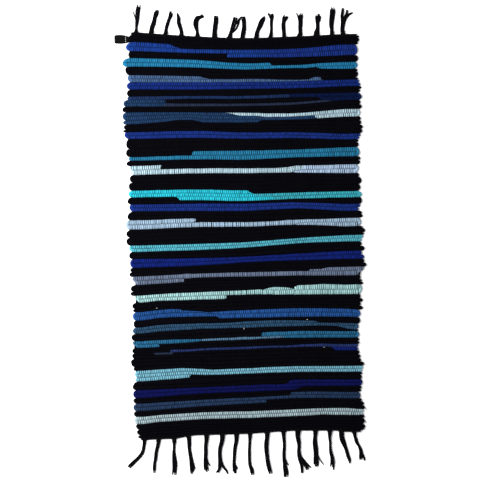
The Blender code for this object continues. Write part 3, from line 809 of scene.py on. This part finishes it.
# half the width of the root, the knot's width and length, and the locks: each a line of
# points with the lock's width there.
FAR_TASSELS = (
    (7, 11, 9, (
        ((-268, 530, 10.3), (-267, 550, 5.7), (-265, 566, 8.5), (-263, 581, 10.3), (-262, 596, 11.6),
         (-260, 606, 9.3), (-260, 611, 7.7)),
        ((-267, 566, 2.6), (-270, 579, 2.1), (-275, 594, 1.5)),
    )),
    (7, 13, 9, (
        ((-230, 530, 10.3), (-227, 550, 10.8), (-222, 562, 11.3), (-219, 576, 9.5), (-215, 588, 12.3),
         (-214, 596, 10.3)),
        ((-214, 586, 4.6), (-211, 591, 5.1), (-209, 594, 4.1)),
    )),
    (7, 11, 10, (
        ((-193, 526, 10.3), (-190, 548, 7.7), (-186, 561, 8.2), (-182, 572, 8.2), (-178, 581, 9.8),
         (-178, 592, 9.8)),
    )),
    (7, 12, 9, (
        ((-152, 520, 10.3), (-152, 542, 8.5), (-155, 553, 9.5), (-158, 564, 9.5), (-158, 575, 7.7),
         (-160, 582, 5.1), (-161, 589, 3.6)),
    )),
    (9, 11, 8, (
        ((-110, 518, 12.8), (-111, 539, 6.7), (-111, 555, 5.9), (-110, 565, 6.4), (-106, 573, 8.7),
         (-100, 576, 7.7), (-93, 577, 6.2)),
        ((-112, 537, 3.6), (-116, 547, 4.1), (-118, 557, 5.7), (-116, 568, 5.7), (-110, 576, 5.7),
         (-104, 577, 4.6)),
        ((-103, 574, 4.6), (-99, 579, 5.1), (-97, 582, 4.6)),
    )),
    (8, 13, 12, (
        ((-67, 518, 12.8), (-66, 536, 12.1), (-64, 551, 11.3), (-62, 564, 12.3), (-61, 578, 10.8)),
    )),
    (8, 11, 8, (
        ((-29, 516, 11.6), (-25, 531, 8.7), (-21, 548, 5.7), (-17, 561, 6.2), (-14, 573, 5.7)),
        ((-24, 530, 4.1), (-16, 545, 3.9), (-10, 561, 4.1), (-8, 572, 4.1)),
        ((-24, 531, 4.6), (-10, 544, 4.6), (-4, 558, 5.1), (-2, 567, 5.7), (5, 574, 4.6)),
        ((-17, 553, 3.1), (-9, 557, 3.1), (-4, 565, 3.6)),
    )),
    (7, 11, 10, (
        ((4, 515, 10.3), (8, 535, 11.3), (10, 547, 10.8), (10, 558, 10.0), (9, 567, 10.0),
         (8, 574, 8.2)),
    )),
    (8, 12, 10, (
        ((40, 515, 11.6), (43, 532, 9.8), (46, 540, 10.0), (51, 550, 12.6), (55, 559, 12.6),
         (60, 567, 10.0), (63, 574, 6.7)),
    )),
    (7, 10, 10, (
        ((76, 514, 10.3), (79, 530, 7.5), (80, 541, 6.2), (80, 553, 6.7), (81, 564, 7.5),
         (83, 572, 7.2), (83, 580, 6.2)),
        ((80, 561, 4.1), (78, 570, 5.7), (75, 577, 5.7), (72, 581, 4.1)),
    )),
    (7, 10, 9, (
        ((112, 513, 10.3), (112, 528, 9.0), (111, 542, 9.5), (111, 553, 9.3), (113, 563, 10.3),
         (114, 570, 9.3), (115, 576, 6.7)),
        ((114, 559, 5.7), (118, 565, 7.2), (122, 572, 6.7)),
    )),
    (8, 12, 9, (
        ((150, 515, 11.6), (154, 529, 10.0), (154, 539, 9.8), (155, 552, 10.3), (155, 563, 11.3),
         (157, 574, 10.3), (157, 580, 7.2)),
        ((151, 558, 3.1), (149, 569, 2.8), (145, 580, 2.6)),
    )),
    (10, 15, 13, (
        ((196, 514, 15.9), (196, 529, 13.4), (198, 537, 9.8), (199, 547, 9.0), (199, 559, 10.5),
         (198, 569, 11.3), (197, 575, 10.8)),
        ((201, 557, 5.1), (203, 568, 5.7), (202, 577, 4.1)),
        ((202, 556, 5.7), (205, 564, 5.7), (206, 571, 4.6)),
    )),
    (7, 11, 9, (
        ((235, 518, 11.6), (235, 534, 8.2), (234, 545, 10.3), (235, 556, 11.8), (237, 572, 13.9),
         (238, 584, 13.4), (238, 593, 10.3)),
    )),
    (8, 12, 9, (
        ((264, 518, 11.6), (262, 535, 9.8), (263, 545, 10.3), (263, 558, 8.7), (262, 572, 6.7),
         (264, 583, 6.2), (264, 590, 5.1)),
        ((265, 539, 5.7), (268, 554, 6.2), (273, 565, 6.7), (279, 572, 6.2), (285, 576, 5.7),
         (290, 577, 4.1)),
        ((264, 549, 5.1), (267, 562, 6.2), (272, 571, 6.7), (275, 578, 6.2), (275, 585, 5.1)),
    )),
)
NEAR_TASSELS = (
    (7, 9, 8, (
        ((-269, -500, 10.3), (-271, -521, 7.7), (-276, -541, 8.2), (-289, -556, 8.2),
         (-302, -568, 9.5), (-311, -578, 10.3)),
    )),
    (8, 11, 8, (
        ((-233, -501, 11.6), (-236, -524, 8.7), (-240, -539, 8.5), (-242, -553, 8.2),
         (-245, -568, 7.2), (-246, -582, 8.0), (-247, -593, 5.7)),
    )),
    (8, 11, 8, (
        ((-193, -505, 11.6), (-194, -528, 5.9), (-195, -543, 8.0), (-194, -556, 10.8),
         (-193, -569, 12.6), (-194, -583, 11.8), (-196, -600, 10.8)),
    )),
    (9, 11, 9, (
        ((-156, -498, 11.3), (-155, -518, 9.5), (-155, -533, 8.0), (-153, -548, 9.3),
         (-151, -561, 9.5), (-150, -573, 10.0), (-150, -585, 9.3), (-151, -598, 5.1)),
        ((-148, -560, 4.1), (-145, -574, 5.1), (-142, -585, 4.1)),
        ((-148, -575, 5.1), (-145, -585, 5.1), (-148, -593, 4.1)),
    )),
    (9, 11, 9, (
        ((-110, -496, 12.8), (-111, -514, 10.3), (-113, -529, 9.0), (-113, -543, 9.0),
         (-114, -558, 9.3), (-114, -571, 10.8), (-113, -585, 11.3), (-111, -593, 9.8)),
        ((-110, -560, 3.6), (-107, -571, 3.6), (-102, -578, 3.1)),
    )),
    (8, 12, 9, (
        ((-69, -497, 12.8), (-71, -515, 10.8), (-75, -529, 10.3), (-77, -544, 9.5), (-77, -559, 9.8),
         (-77, -572, 10.3), (-79, -586, 7.7), (-81, -596, 4.6)),
        ((-78, -581, 4.1), (-82, -589, 4.6), (-88, -596, 3.1)),
        ((-74, -561, 5.1), (-71, -576, 6.2), (-66, -585, 6.4), (-61, -591, 5.7), (-58, -600, 3.1)),
    )),
    (9, 11, 9, (
        ((-33, -498, 12.8), (-34, -516, 9.8), (-37, -530, 8.5), (-39, -545, 8.2), (-40, -559, 8.0),
         (-41, -571, 7.7), (-40, -586, 9.3), (-40, -599, 7.7)),
        ((-40, -574, 4.1), (-35, -583, 4.6), (-33, -588, 3.6)),
        ((-41, -583, 4.1), (-44, -594, 4.1)),
    )),
    (7, 10, 8, (
        ((2, -496, 11.1), (1, -511, 7.7), (0, -526, 6.7), (-1, -541, 6.7), (-1, -555, 7.2),
         (-1, -566, 7.2), (0, -579, 8.0), (4, -590, 9.8), (5, -604, 9.3)),
    )),
    (10, 11, 9, (
        ((46, -492, 12.8), (45, -508, 10.0), (43, -523, 11.3), (43, -538, 10.8), (44, -553, 9.8),
         (45, -567, 9.8), (47, -580, 10.8), (50, -591, 10.3), (53, -602, 7.7)),
    )),
    (10, 10, 8, (
        ((88, -490, 12.8), (88, -506, 9.0), (89, -521, 7.7), (89, -535, 7.5), (88, -550, 8.0),
         (88, -565, 8.2), (89, -578, 9.5), (90, -588, 11.6), (92, -599, 12.6), (92, -611, 11.8)),
        ((92, -566, 3.1), (94, -574, 3.1), (99, -581, 2.6)),
    )),
    (11, 12, 9, (
        ((125, -491, 13.9), (124, -507, 10.8), (126, -520, 10.3), (127, -531, 8.5), (126, -543, 8.2),
         (127, -556, 9.8), (129, -568, 9.3), (132, -580, 7.7), (133, -592, 6.2), (133, -602, 5.9)),
        ((128, -555, 6.7), (134, -568, 9.3), (140, -577, 9.8), (145, -586, 9.0), (148, -594, 8.2)),
        ((131, -560, 4.1), (139, -569, 4.4), (146, -578, 4.1), (156, -588, 3.6)),
    )),
    (9, 12, 9, (
        ((170, -492, 12.8), (169, -508, 9.3), (168, -521, 10.8), (169, -535, 12.1), (170, -548, 12.3),
         (170, -563, 12.3), (170, -576, 12.8), (169, -586, 11.8)),
        ((175, -558, 2.6), (180, -569, 2.6), (189, -582, 2.3)),
    )),
    (9, 10, 8, (
        ((207, -493, 12.8), (206, -510, 7.7), (207, -525, 5.7), (207, -538, 5.7), (208, -549, 7.7),
         (211, -562, 9.3), (212, -575, 10.8), (210, -588, 9.8)),
        ((214, -570, 4.1), (215, -583, 4.4), (214, -596, 3.6)),
    )),
    (8, 13, 11, (
        ((236, -494, 12.8), (237, -511, 12.3), (239, -519, 12.8), (242, -528, 11.1), (246, -539, 8.5),
         (250, -552, 8.5), (253, -563, 8.2), (256, -572, 7.2), (255, -580, 4.6)),
    )),
    (8, 9, 7, (
        ((269, -495, 12.8), (271, -511, 6.7), (273, -517, 8.0), (275, -525, 8.5), (280, -534, 6.2),
         (284, -543, 7.7), (286, -554, 9.3), (285, -564, 9.3), (285, -571, 8.2)),
        ((287, -549, 4.1), (291, -560, 5.7), (294, -568, 5.1), (295, -574, 3.6)),
    )),
)


def twine(line, outward):
    """Two cords twisted round each other along the cloth's edge."""
    x = np.arange(selvedge(-1, line[0]) + 7, selvedge(1, line[-1]) - 7, 2.2)
    y = across(line, x) + outward * TWINE_OUT
    found = []
    for start in (0, math.pi):
        angle = 2 * math.pi * x / TWINE_LAY + start
        path = np.column_stack((x, y + TWINE_SWING * np.cos(angle), TWINE_LEVEL + TWINE_SWING * np.sin(angle)))
        found.append(plain(path, TWINE_RADIUS))
    return found


def plain(path, radius, taper=None):
    """A round yarn along a path."""
    n = len(path)
    size = np.full(n, radius) if taper is None else radius * taper
    return {"points": path, "wide": size, "tall": size * 0.95, "top": np.zeros(n), "low": np.zeros(n),
            "u": np.arange(n) * 0.5, "row": 0, "dye": np.full((n, 3), 0.006)}


def smooth_path(points, count):
    """A smooth line through points, evenly spaced, with whatever columns they have."""
    points = np.array(points, float)
    along = np.concatenate(([0], np.cumsum(np.linalg.norm(np.diff(points[:, :2], axis=0), axis=1))))
    at = np.linspace(0, along[-1], count)
    slopes = np.gradient(points, along, axis=0)
    k = np.clip(np.searchsorted(along, at, side="right") - 1, 0, len(along) - 2)
    span = (along[k + 1] - along[k])[:, None]
    t = ((at - along[k]) / span[:, 0])[:, None]
    return (points[k] * (1 + 2 * t) * (1 - t) ** 2 + points[k + 1] * t * t * (3 - 2 * t)
            + slopes[k] * span * t * (1 - t) ** 2 - slopes[k + 1] * span * t * t * (1 - t))


def lock(points, chance, rooted):
    """The yarns of one lock: side by side and twisted a little, with uneven cut ends."""
    found = []
    ease = EASE if rooted else LOOSE_EASE
    widest = max(point[2] for point in points[1:])
    count = max(2, int(round((widest + 2 * ease - 2 * YARN_RADIUS) / YARN_SPACING)) + 1)
    rings = max(7, int(len(points) * 2.4))
    middle = smooth_path(points, rings)
    along = np.linspace(0, 1, rings)
    tangent = np.gradient(middle[:, :2], axis=0)
    tangent /= np.linalg.norm(tangent, axis=1, keepdims=True)
    normal = np.column_stack((-tangent[:, 1], tangent[:, 0]))
    half = np.maximum(middle[:, 2] / 2 + ease - YARN_RADIUS, 0.1)
    for k in range(count):
        spot = 2 * k / (count - 1) - 1
        place = spot * (1 - 0.1 * np.sin(6 * along + chance.uniform(0, 6)) ** 2)
        level = YARN_RADIUS + 0.3 + (k % 2) * 1.3 + 0.5 * np.sin(5 * along + k) ** 2
        keep = rings - (chance.integers(0, 2) if count > 4 else 0)
        xy = middle[:, :2] + normal * (place * half)[:, None]
        taper = np.ones(rings)
        taper[-2:] = (0.95, 0.7)
        z = level + (1.2 * np.exp(-((along - 0.1) / 0.12) ** 2) if rooted else 0)
        path = np.column_stack((xy, z))[:keep]
        found.append(plain(path, YARN_RADIUS * chance.uniform(0.95, 1.15), taper[rings - keep:]))
    return found


def knot(points, width, length, chance):
    """An overhand knot at a lock's root: three turns of the bundle round itself."""
    start, after = np.array(points[0][:2], float), np.array(points[1][:2], float)
    way = (after - start) / np.linalg.norm(after - start)
    side = np.array((-way[1], way[0]))
    found = []
    angle = np.linspace(0, 2 * math.pi, 15)
    for k in range(3):
        at = start + way * (KNOT_SPACE + length * (k + 0.4) / 3)
        swell = KNOT_SWELL[k]
        lean_by = chance.uniform(-1.2, 1.2)
        half = width / 2 * swell + EASE - KNOT_CORD
        flat = at + side * (half * np.cos(angle))[:, None] + way * (lean_by * np.cos(angle))[:, None]
        z = 0.35 + KNOT_CORD + 2.1 * swell * (1 + np.sin(angle))
        turn_of = plain(np.column_stack((flat, z)), KNOT_CORD)
        turn_of["across"] = np.array((way[0], way[1], 0.0))
        found.append(turn_of)
    return found


def root(points, half, line, outward):
    """The ends that fan out of the cloth's edge into the knot."""
    x, y = points[0][:2]
    found = []
    target = np.array(points[1][:2], float)
    for share in np.linspace(-1, 1, 9):
        x0 = x + share * half * 1.35
        edge = float(across(line, np.array(x0))) - outward * 3
        path = np.array((
            (x0, edge, 4.2),
            (x0 * 0.85 + x * 0.15, edge + outward * 4.6, 3.9),
            (x + share * half * 0.62, edge + outward * 8, 3.6 - abs(share)),
            (x + share * half * 0.4, edge + outward * 11, 3.4 - abs(share)),
            (target[0] + share * 1.6, target[1] + outward * 1, 3.2)))
        found.append(plain(smooth_path(path, 7), YARN_RADIUS * 1.1))
    return found


for name, line, outward, tassels in (
        ("far_fringe", lines[0], 1, FAR_TASSELS), ("near_fringe", lines[-1], -1, NEAR_TASSELS)):
    chance = np.random.default_rng(21 if outward > 0 else 22)
    yarns = twine(line, outward)
    for half, width, length, locks in tassels:
        yarns += root(locks[0], half, line, outward)
        yarns += knot(locks[0], width, length, chance)
        for place, points in enumerate(locks):
            yarns += lock(points, chance, place == 0)
    piece = tubes(name, yarns, 5, 1.0)
    piece.data.materials.append(warp_yarn)
    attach(piece, "root")
    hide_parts("fringe_top" if outward > 0 else "fringe_bottom")

# Corner tab
# A short black ribbon, folded double and caught in the heading at the far left corner,
# with a short seam of plain white stitches where it leaves the cloth.
# along it from the cloth outwards: x, y, width, and the level of its upper ply
TAB = np.array((
    (-284, 520.5, 13, 4.0), (-288, 521.2, 15.5, 3.9), (-293, 521.6, 18.5, 3.6), (-298, 522.0, 21.3, 3.2),
    (-304, 522.4, 22.6, 2.8), (-311, 522.7, 23.2, 2.5), (-318, 522.8, 22.8, 2.3),
     (-322.6, 522.9, 20.6, 2.2)), float)
TAB_END = (-323.8, 523.2, 17.5)
TAB_THICKNESS = 0.9
STITCH_RADIUS = 0.75
SEAM = -295.0
SEAM_STITCHES = (515.6, 520.2, 524.8)
STITCH_LENGTH = 2.6


def ribbon(path, half_widths):
    """A flat ribbon along a path of (x, y, z)."""
    n = len(path)
    return {"points": path, "across": np.array((0.0, 1.0, 0.0)), "wide": half_widths,
            "tall": np.full(n, TAB_THICKNESS / 2), "top": np.zeros(n), "low": np.zeros(n),
            "u": np.arange(n) * 1.0, "row": 0, "dye": np.full((n, 3), 0.004)}


upper = np.column_stack((TAB[:, :2], TAB[:, 3]))
lower = np.column_stack((TAB[:, :2], np.full(len(TAB), TAB_THICKNESS / 2 + 0.1)))
bend = np.array(((TAB_END[0], TAB_END[1], 1.3),))
plies = np.vstack((lower, bend, upper[::-1]))
half_widths = np.concatenate((TAB[:, 2], (TAB_END[2],), TAB[::-1, 2])) / 2
tab = tubes("ribbon_tab", [ribbon(plies, half_widths)], 8, 0.35)
satin = bpy.data.materials.new("black ribbon")
satin.use_nodes = True
satin_shader = satin.node_tree.nodes["Principled BSDF"]
satin_shader.inputs["Base Color"].default_value = (0.0022, 0.0022, 0.0025, 1)
satin_shader.inputs["Roughness"].default_value = 0.8
satin_shader.inputs["Specular IOR Level"].default_value = 0.03
tab.data.materials.append(satin)
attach(tab, "root")
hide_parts("corner_tab")

stitch_lines = []
ply = np.interp(SEAM, TAB[::-1, 0], TAB[::-1, 3])
for start in SEAM_STITCHES:
    share = np.linspace(0, 1, 5)
    rise = ply + 0.2 + 0.7 * np.sin(math.pi * share)
    path = np.column_stack((np.full(5, SEAM), start + STITCH_LENGTH * share, rise))
    stitch_lines.append(plain(path, STITCH_RADIUS))
stitches = tubes("tab_stitches", stitch_lines, 6, 1.0)
thread = bpy.data.materials.new("white thread")
thread.use_nodes = True
thread.node_tree.nodes["Principled BSDF"].inputs["Base Color"].default_value = (0.36, 0.36, 0.35, 1)
thread.node_tree.nodes["Principled BSDF"].inputs["Roughness"].default_value = 0.7
stitches.data.materials.append(thread)
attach(stitches, "root")

# Loose threads
# A few pale ends of sewing thread stand out of the rags, and black fibres hang out of the
# near right corner.
SPECKS = (((-231.5, -169.4), (-228.4, -170.0)), ((153, -208.6), (156.4, -207.0)),
          ((195.4, -279.2), (198, -279.8)), ((-7.4, -224.6), (-8.0, -229.4)))
SPECK_LEVEL = 8.0
SPECK_RADIUS = 0.8
FIBRES = (((292, -433), (299, -438.4), (305, -444.8)), ((293, -467), (298, -471.4), (302, -476.6)),
          ((293, -480), (297, -483), (300, -486.6)))
FIBRE_LEVEL = 2.4
FIBRE_RADIUS = 0.95

specks = []
for start, end in SPECKS:
    share = np.linspace(0, 1, 6)
    level = SPECK_LEVEL + 0.4 * np.sin(math.pi * share)
    line_of = (start[0] + share * (end[0] - start[0]), start[1] + share * (end[1] - start[1]), level)
    specks.append(plain(np.column_stack(line_of), SPECK_RADIUS, 0.5 + 0.5 * np.sin(math.pi * share)))
thread_ends = tubes("thread_ends", specks, 6, 1.0)
thread_ends.data.materials.append(thread)
fibres = []
for line_of in FIBRES:
    path = smooth_path([(px, py, FIBRE_LEVEL) for px, py in line_of], 9)
    fibres.append(plain(path, FIBRE_RADIUS, np.linspace(1.3, 0.4, 9)))
loose_fibres = tubes("loose_fibres", fibres, 6, 1.0)
loose_fibres.data.materials.append(warp_yarn)
for piece, slot in ((thread_ends, "rag_cloth"), (loose_fibres, "warp_yarn")):
    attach(piece, "root")

# Floor, light and camera
# The mat lies on a plain white studio floor under a broad soft light, seen from straight above.
VIEW_WIDTH = 1.2336
CAMERA_HEIGHT = 6.0
ROLL = math.radians(1.3)

bpy.ops.mesh.primitive_plane_add(size=14, location=(0, 0, 0))
floor = bpy.context.active_object
floor.name = "studio_floor"
white = bpy.data.materials.new("white floor")
white.use_nodes = True
white.node_tree.nodes["Principled BSDF"].inputs["Base Color"].default_value = (0.94, 0.94, 0.94, 1)
white.node_tree.nodes["Principled BSDF"].inputs["Roughness"].default_value = 0.9
floor.data.materials.append(white)

world = bpy.data.worlds.new("studio")
bpy.context.scene.world = world
world.use_nodes = True
world.node_tree.nodes["Background"].inputs["Color"].default_value = (0.97, 0.98, 1.0, 1)
world.node_tree.nodes["Background"].inputs["Strength"].default_value = 0.7

light = bpy.data.lights.new("soft light", "AREA")
light.size = 1.6
light.energy = 84
lamp = bpy.data.objects.new("soft light", light)
bpy.context.scene.collection.objects.link(lamp)
lamp.location = (-1.2, 0.3, 1.4)
lamp.rotation_mode = "QUATERNION"
lamp.rotation_quaternion = Vector(lamp.location).to_track_quat("Z", "Y")

lens = bpy.data.cameras.new("view")
lens.sensor_width = 36
lens.lens = lens.sensor_width * CAMERA_HEIGHT / VIEW_WIDTH
camera = bpy.data.objects.new("view", lens)
bpy.context.scene.collection.objects.link(camera)
camera.location = (-0.01285, 0.0003, CAMERA_HEIGHT)
camera.rotation_euler = (0, 0, -ROLL)
lens.clip_end = 100
bpy.context.scene.camera = camera
bpy.context.scene.view_settings.view_transform = "Standard"
